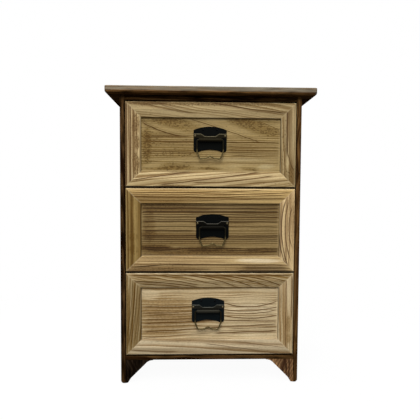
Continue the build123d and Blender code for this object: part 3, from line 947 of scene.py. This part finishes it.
# %% Middle drawer frame
middle_frame = [
    Front(
        "frame_top", 1.45, 1.0, Cut(3.4, -80.0, 30.0, lean=0.015, wave=1.0, strength=0.5),
        [
            Vein((-116, 5), (-20, 5.2), (70, 8.2), 1.8, 0.9),
            Vein((-116, 1.6), (0, 1.8), (112, 5.4), 1.8, 0.9),
            Vein((-112, -1.6), (0, -1.6), (108, 2.2), 1.6, 0.9),
            Vein((-108, -5.8), (0, -5.8), (100, -2.8), 1.8, 0.9),
        ],
        # A strong rim: painted highlight where light through the gap hits the top edge, with some
        # wear.
        rim=0.2,
    ),
    Front(
        "frame_bottom", 1.02, 0.94, Cut(3.6, 80.0, 40.0, lean=0.01, wave=1.2, strength=0.4),
        [
            Vein((-109, -4.1), (-74.5, -0.9), (-22, 0.2), 2.2),
            Vein((-28, 0.1), (30, 0), (104, -0.6), 1.9),
            Vein((48, -3.6), (80, -3.8), (108, -3.9), 1.8),
            Vein((50, -6), (80, -6.1), (110, -6.2), 1.8),
            Vein((40, -8.2), (80, -8.3), (112, -8.5), 1.8),
            Vein((-112, -6.4), (-60, -6.2), (0, -6.6), 1.4, 0.7),
        ],
        # The first cloud is a painted sheen: a pale cream spot at the right of the rail.
        [Cloud(68, 4.8, 46, 4.5, 0.0, -1.25), Cloud(-60, -8, 60, 4, 0.0, 0.5)],
    ),
    Front(
        "frame_left", 0.68, 1.08, Cut(5.0, -50.0, 40.0, lean=0.005, wave=1.0, strength=0.25),
        [level(-7.2, 60, 2.6, 0.35), level(-1.6, 60, 3.0, 0.3)],
        [
            Cloud(-10, 0, 6, 8, 0.0, 0.25),
            Cloud(-28, 0, 7, 8, 0.0, 0.25),
            Cloud(0, 5.4, 60, 4, 0.0, -0.15),
        ],
    ),
    Front(
        "frame_right", 1.62, 0.87, Cut(4.2, 60.0, 50.0, wave=1.5, strength=0.2),
        [
            Vein((-56, 2.7), (-36, -6), (-8, -10.4), 2.2, 0.9),
            Vein((-52, 2.4), (-1.6, -7.6), (42, -2.5), 2.6, 0.85),
            Vein((-42, 5.2), (6, -2.6), (42, 2), 2.4, 0.75),
            Vein((-24, 7), (8, 2.7), (34, 7), 2.2, 0.75),
        ],
        [Cloud(0, 10, 60, 3, 0.0, 0.4)],
    ),
]
print("middle frame:", [front.part for front in middle_frame])

# %% [markdown]
# Straight lines lie close together on the middle panel, so most of them are level veins. The dark
# band below them is made of short lines that overlap, with dark clouds behind them.

# %% Middle drawer panel
middle_panel = Front(
    "front_panel", 0.68, 1.0,
    Cut(3.5, -160.0, 30.0, wave=0.8, wave_length=140.0, strength=0.85),
    [
        level(34.6, 97, 2.0, 0.5),
        level(31.0, 97, 2.0),
        level(26.6, 97, 2.2),
        level(22.0, 97),
        level(19.0, 97, 1.6, 0.7),
        level(15.0, 97),
        level(11.7, 97),
        level(4.5, 97, 1.8, 0.8),
        Vein((-96, -0.8), (-60, -0.8), (-25, -1), 1.8, 0.9),
        level(-8.6, 97),
        level(-10.8, 97, 1.6, 0.8),
        level(-13.9, 97),
        Vein((-97, -25), (-80, -25.4), (-58, -25.2), 2.8),
        Vein((-92, -28.4), (-70, -28.8), (-44, -28.2), 2.6),
        Vein((-50, -25.8), (-30, -26.2), (-8, -25.8), 2.0, 0.9),
        Vein((-34, -29.6), (-10, -29), (14, -29.6), 2.0, 0.8),
        Vein((-5, -26.2), (18, -26.6), (44, -26.2), 2.0, 0.8),
        Vein((24, -30), (48, -29.4), (74, -30), 2.2, 0.9),
        Vein((50, -27), (74, -27.4), (99, -27), 2.2, 0.8),
        Vein((72, -30.4), (86, -30.8), (99, -30.4), 2.0, 0.9),
    ],
    [
        Cloud(-87, 5, 10, 26, 0.0, 0.5),
        Cloud(-50, 33, 70, 12, 0.0, 0.35),
        Cloud(-50, 4, 50, 11, 0.0, -0.4),
        Cloud(0, -34, 100, 5, 0.0, 0.5),
        Cloud(-80, -26.5, 30, 5, 0.0, 1.0),
        Cloud(-6, -27.5, 56, 4, 0.0, 0.8),
        Cloud(74, -28.5, 34, 4, 0.0, 0.5),
    ],
    rim=0.05,
)
middle_fronts = [*middle_frame, middle_panel]
dress_drawer_front("middle", MIDDLE, middle_fronts, MIDDLE_SEED)

# %% [markdown]
# The lower drawer has the liveliest lines. Those of its top rail slope down to the right, one
# behind the other, and those of its left stile lean across it. The bottom rail and the right
# stile are calmer.

# %% Lower drawer frame
lower_frame = [
    Front(
        "frame_top", 0.95, 1.06, Cut(2.8, -60.0, 50.0, lean=0.18, wave=1.0, strength=0.25),
        [
            Vein((-112, 7.9), (20, 7.7), (114, 7.6), 2.4, 1.0),
            Vein((-104, 4.1), (-58, 0.8), (-18, -6.6), 1.6),
            Vein((-69, 6.3), (-18, 0), (13, -7.5), 1.6),
            Vein((-110, -0.5), (-70, -3), (-20, -9.4), 2.0),
            Vein((-98, -5), (-72, -6.6), (-44, -9.4), 2.2, 0.9),
            Vein((-31, 6.5), (2, 2.4), (37, -9.4), 2.0),
            Vein((-8, 6.5), (25, 2.4), (60, -9.4), 2.0),
            Vein((15, 6.5), (48, 2.4), (83, -9.4), 2.0),
            Vein((38, 6.5), (71, 2.4), (104, -9.0), 2.0),
            Vein((64, 6.2), (88, 3.4), (108, -1.6), 1.8, 0.9),
        ],
        # A strong rim: painted highlight where light through the gap hits the top edge, with some
        # wear.
        rim=0.3,
    ),
    Front(
        "frame_bottom", 0.95, 0.9, Cut(6.5, 50.0, 60.0, lean=0.07, wave=2.0, strength=0.15),
        [
            Vein((-6, 5), (45, -1), (101, -10), 1.8, 0.6),
            Vein((39, 7.6), (70, 4), (103, 0), 1.6, 0.6),
            Vein((-112, -3), (-80, -5), (-50, -6), 2.4, 0.6),
        ],
    ),
    Front(
        "frame_left", 0.7, 1.1, Cut(3.6, -50.0, 40.0, lean=-0.05, wave=1.2, strength=0.5),
        [
            Vein((-42, -7), (0, -0.5), (44, 2.7), 2.0, 0.8),
            Vein((-44, -3.6), (0, 2.8), (40, 6), 1.8, 0.7),
            Vein((-30, -9), (0, -4.4), (46, -1), 1.8, 0.7),
            Vein((-40, 1.5), (0, 6.6), (30, 9), 1.8, 0.6),
        ],
        [Cloud(0, -9, 60, 3.6, 0.0, 1.0)],
    ),
    Front(
        "frame_right", 1.2, 0.96, Cut(4.6, 60.0, 40.0, lean=0.02, wave=1.2, strength=0.15),
        [
            level(-0.2, 60, 1.6),
            Vein((-6, 8.6), (22, 8.8), (54, 8.6), 2.4),
            level(-6.4, 60, 1.5, 0.5),
        ],
        [
            Cloud(0, -5.5, 60, 4.5, 0.0, 0.4),
            Cloud(-15, 4, 14, 4, 0.0, 0.6),
            Cloud(-36, 4.5, 8, 4, 0.0, 0.6),
            Cloud(25, 3.5, 25, 4, 0.0, -0.2),
        ],
    ),
]
print("lower frame:", [front.part for front in lower_frame])

# %% [markdown]
# Long waves run over the right half of the lower panel, and straighter lines over the left half.
# A curve through three points can't follow both, so most lines are drawn as two that meet behind
# the pull.

# %% Lower drawer panel
lower_panel = Front(
    "front_panel", 1.17, 0.98,
    Cut(4.4, -120.0, 40.0, wave=3.0, wave_length=75.0, strength=0.4),
    [
        Vein((-94, 9), (-40, 9.4), (5, 11), 2.2),
        Vein((20, 14.8), (62, 9), (97, 17), 2.2),
        Vein((-94, 0.5), (-30, 2.4), (5, 4), 1.8, 0.9),
        Vein((20, 5.6), (58, 2.6), (97, 9), 1.8),
        Vein((-90, -2.8), (-40, -1.5), (5, -0.5), 1.8, 0.8),
        Vein((20, 2), (58, -1.4), (97, 4.2), 1.6, 0.9),
        Vein((-94, -9.3), (-40, -8.4), (20, -5), 2.2),
        Vein((20, -4), (60, -7.6), (97, -4), 2.2),
        Vein((-94, -15), (-40, -13), (15, -10.4), 2.4),
        Vein((20, -10), (60, -11.6), (97, -12), 2.0),
        Vein((-94, -20.8), (-60, -19.6), (-10, -17.5), 1.6, 0.7),
        Vein((-94, -27), (-40, -24.4), (20, -20.6), 2.2),
        Vein((20, -19.5), (60, -18.4), (97, -16.5), 2.0, 0.9),
        Vein((30, -23.5), (60, -22.4), (97, -21), 1.8, 0.8),
        Vein((10, -30), (55, -28), (97, -26.5), 2.4),
        Vein((-96, -37), (-50, -33), (0, -29.6), 2.0, 0.6),
    ],
    [
        # The first cloud is painted shadow under the top rail's lip.
        Cloud(-30, 37, 80, 6, 0.0, 0.45),
        Cloud(62, 6, 50, 9, 0.0, -0.5),
        Cloud(70, -34, 36, 5, 0.0, -0.9),
        Cloud(60, 0, 50, 28, 0.0, -0.8),
        Cloud(-70, -30, 40, 7, 0.0, 0.2),
        Cloud(-86, 26, 14, 9, 0.0, -0.6),
        Cloud(-64, -4, 60, 28, 0.0, 0.5),
    ],
    rim=0.15,
)
lower_fronts = [*lower_frame, lower_panel]
dress_drawer_front("lower", LOWER, lower_fronts, LOWER_SEED)

# %% [markdown]
# Behind each front is a plain box on two runners. It shows only when the drawer is open, so its
# boards share one pale, bare wood. The thin bottom is plywood, whose peeled outer sheet has a
# broader figure.

# %% Drawer boxes and runners
BoxBoard = namedtuple("BoxBoard", "part along face tone cut")
DRAWERS = "lower", "middle", "upper"
BOX_SEED = 200
BOX_DRAWER_STEP = 31.0
BOX_BOARD_STEP = 4.7

box_boards = [
    BoxBoard("left_runner", "Y", "Z", BARE, Cut(3.0, 40.0, 50.0, wave=1.0)),
    BoxBoard("right_runner", "Y", "Z", BARE, Cut(3.0, -40.0, 50.0, wave=1.0)),
    BoxBoard("drawer_left_side", "Y", "X", BARE, Cut(4.0, 20.0, 60.0, tilt=0.08, wave=3.0)),
    BoxBoard("drawer_right_side", "Y", "X", BARE, Cut(4.0, -20.0, -60.0, tilt=-0.08, wave=3.0)),
    BoxBoard("drawer_back", "X", "Y", BARE, Cut(4.0, 15.0, 50.0, tilt=0.08, wave=3.0)),
    BoxBoard(
        "drawer_bottom", "X", "Z", PLY,
        Cut(7.0, 40.0, -40.0, tilt=0.16, wave=8.0, wave_length=150.0),
    ),
]
for tier, drawer in enumerate(DRAWERS):
    for number, plain in enumerate(box_boards):
        board = f"{drawer}_{plain.part}"
        seed = BOX_SEED + tier * BOX_DRAWER_STEP + number * BOX_BOARD_STEP
        dress(board, wood(board, plain.along, plain.face, plain.tone, plain.cut, seed))
print("box boards:", len(DRAWERS) * len(box_boards))

# %% [markdown]
# The pulls are stamped from sheet metal: a plate painted black, and a strap and a wire bail of
# dark bronze. Each metal is a dark coat that gives way to a brighter one. Two noises thin the
# coat in spots, and a mask can be added that brightens it where hands have rubbed it off and, as a
# painted highlight, where it catches the light. The spots also make the surface a little uneven,
# as stamped metal is.

# %% Worn metal
Coat = namedtuple("Coat", "share dullness metallic ripple")
FINE_SPOTS = 900.0
BROAD_SPOTS = 140.0
BROAD_SHARE = 0.7
RIPPLE_STRENGTH = 0.4
SPOT_DULLNESS = 0.15
FULL_WEAR = 1.1
WORN_GLOSS = 0.08
METAL_SPECULAR = 0.03


def metal(name, dark, bare, coat, rubbed_and_lit=None):
    """A worn metal: a dark coat that gives way to a brighter one in spots and where a mask paints
    wear and highlights.
    """
    material, start = empty_material(name)
    place = start.node("TexCoord").output("Object")
    fine = start.node("TexNoise", {}, {"Vector": place, "Scale": FINE_SPOTS, "Detail": 2.0})
    broad = start.node("TexNoise", {}, {"Vector": place, "Scale": BROAD_SPOTS, "Detail": 2.0})
    spots = broad * BROAD_SHARE + fine * (1 - BROAD_SHARE)
    worn = smooth(spots, 1 - coat.share, FULL_WEAR - coat.share / 2)
    if rubbed_and_lit:
        worn = highest(worn, rubbed_and_lit(place))
    ripple = {"Strength": RIPPLE_STRENGTH, "Distance": coat.ripple, "Height": fine + broad}
    sockets = {
        "Base Color": mixed(dark, bare, worn),
        "Roughness": coat.dullness + fine * SPOT_DULLNESS - worn * WORN_GLOSS,
        "Metallic": coat.metallic,
        "Specular IOR Level": METAL_SPECULAR,
        "Normal": start.node("Bump", {}, ripple),
    }
    shader = start.node("BsdfPrincipled", {}, sockets)
    start.node("OutputMaterial", {}, {"Surface": shader})
    return material


print("worn spots are about", round(MM / BROAD_SPOTS, 1), "mm apart")

# %% [markdown]
# Three masks brighten a pull, each partly wear and partly painted light. The upper outline of the
# strap is worn and carries a painted highlight where it catches the light from above. The lower
# part of the bail, where the fingers hold it, is paler than its legs, worn and with a painted
# reflection.
# The two lower pins are bare, and their pale stands for their highlights too. All three are
# measured from the middle of the drawer's plate.

# %% Where the pulls are rubbed
HUB_TOP = 4.3
HUB_HALF = 7.7
HUB_SLOPE = 5.0
TAB_TOP = 7.8
OUTLINE_WIDTH = 0.3, 0.9
OUTLINE_SHARE = 0.8
GRIP = -16.5, -12.5
GRIP_SHARE = 0.5
TAB_PINS = 8.0, 9.0


def aside_of_plate(drawer, place):
    """Millimetres to either side of the middle of a drawer's plate."""
    side = place.node("SeparateXYZ", {}, {0: place})
    return abs(side - board_middle(f"{drawer}_pull_plate")["X"]) * MM


def above_plate(drawer, place):
    """Millimetres above the middle of a drawer's plate."""
    height = place.node("SeparateXYZ", {}, {0: place}, output=2)
    return (height - board_middle(f"{drawer}_pull_plate")["Z"]) * MM


def strap_outline(drawer):
    """A mask just below the upper outline of a strap, which dips in the middle: wear and a painted
    highlight.
    """

    def mask(place):
        aside = aside_of_plate(drawer, place)
        slope = {"Value": aside, "From Min": HUB_HALF, "From Max": HUB_HALF + HUB_SLOPE}
        outline = place.node("MapRange", {}, slope) * (TAB_TOP - HUB_TOP) + HUB_TOP
        return (1 - smooth(outline - above_plate(drawer, place), *OUTLINE_WIDTH)) * OUTLINE_SHARE

    return mask


def grip(drawer):
    """A mask of the lower part of a bail, made paler as wear and as a painted reflection."""
    return lambda place: falling(above_plate(drawer, place), *GRIP, GRIP_SHARE)


def tab_pins(drawer):
    """A mask of the two lower pins of a pull, bare and with painted highlights. The two upper ones
    stay black.
    """
    return lambda place: 1 - smooth(above_plate(drawer, place), *TAB_PINS)


print("a strap's outline rises by", round(TAB_TOP - HUB_TOP, 1), "mm to its tabs")

# %% [markdown]
# The three pulls differ: the plate of the lower one is a dull blue black, the middle one is the
# blackest, and the strap of the upper one shows the most bronze and the brightest painted highlight
# on its outline. The nails, pins and screws are plain steel.

# %% Pulls and fasteners
PAINTED_IRON = Coat(0.45, 0.5, 0.0, 0.0001)
STRAP_BRONZE = Coat(0.22, 0.42, 1.0, 0.00004)
BAIL_BRONZE = Coat(0.36, 0.4, 1.0, 0.00004)
PIN_IRON = Coat(0.1, 0.4, 1.0, 0.00004)
BRIGHT_STEEL = Coat(0.5, 0.35, 1.0, 0.00003)
Pull = namedtuple("Pull", "drawer plate plate_worn strap strap_worn")
PULLS = [
    Pull("lower", paint(10, 15, 17), paint(25, 32, 35), paint(32, 31, 26), paint(72, 73, 66)),
    Pull("middle", paint(2, 3, 3), paint(9, 11, 11), paint(13, 12, 9), paint(92, 89, 79)),
    Pull("upper", paint(2, 3, 2), paint(9, 11, 9), paint(24, 21, 13), paint(124, 116, 91)),
]
bail_colours = paint(30, 27, 18), paint(106, 92, 58)
pin_colours = paint(10, 11, 12), paint(84, 76, 56)

steel = metal("fastener_steel", paint(120, 120, 118), paint(150, 150, 148), BRIGHT_STEEL)
for pull in PULLS:
    drawer = pull.drawer
    plate = metal(f"{drawer}_black_iron", pull.plate, pull.plate_worn, PAINTED_IRON)
    # The strap's outline mask paints wear and a highlight.
    lit_and_worn_outline = strap_outline(drawer)
    strap = metal(f"{drawer}_strap", pull.strap, pull.strap_worn, STRAP_BRONZE, lit_and_worn_outline)
    bail = metal(f"{drawer}_bronze", *bail_colours, BAIL_BRONZE, grip(drawer))
    pins = metal(f"{drawer}_pins", *pin_colours, PIN_IRON, tab_pins(drawer))
    dress(f"{drawer}_pull_plate", plate)
    dress(f"{drawer}_pull_strap", strap)
    dress(f"{drawer}_pull_bail", bail)
    dress(f"{drawer}_pull_pins", pins)
    dress(f"{drawer}_drawer_pins", steel)
for fasteners in ("carcass_pins", "back_panel_nails", "top_screws"):
    dress(fasteners, steel)
print("pulls:", len(PULLS), "fasteners:", steel.name)

# %% [markdown]
# Dressing must not change the size of the cabinet. At the end the view layer is brought up to date.

# %% Update the view layer
bpy.context.view_layer.update()
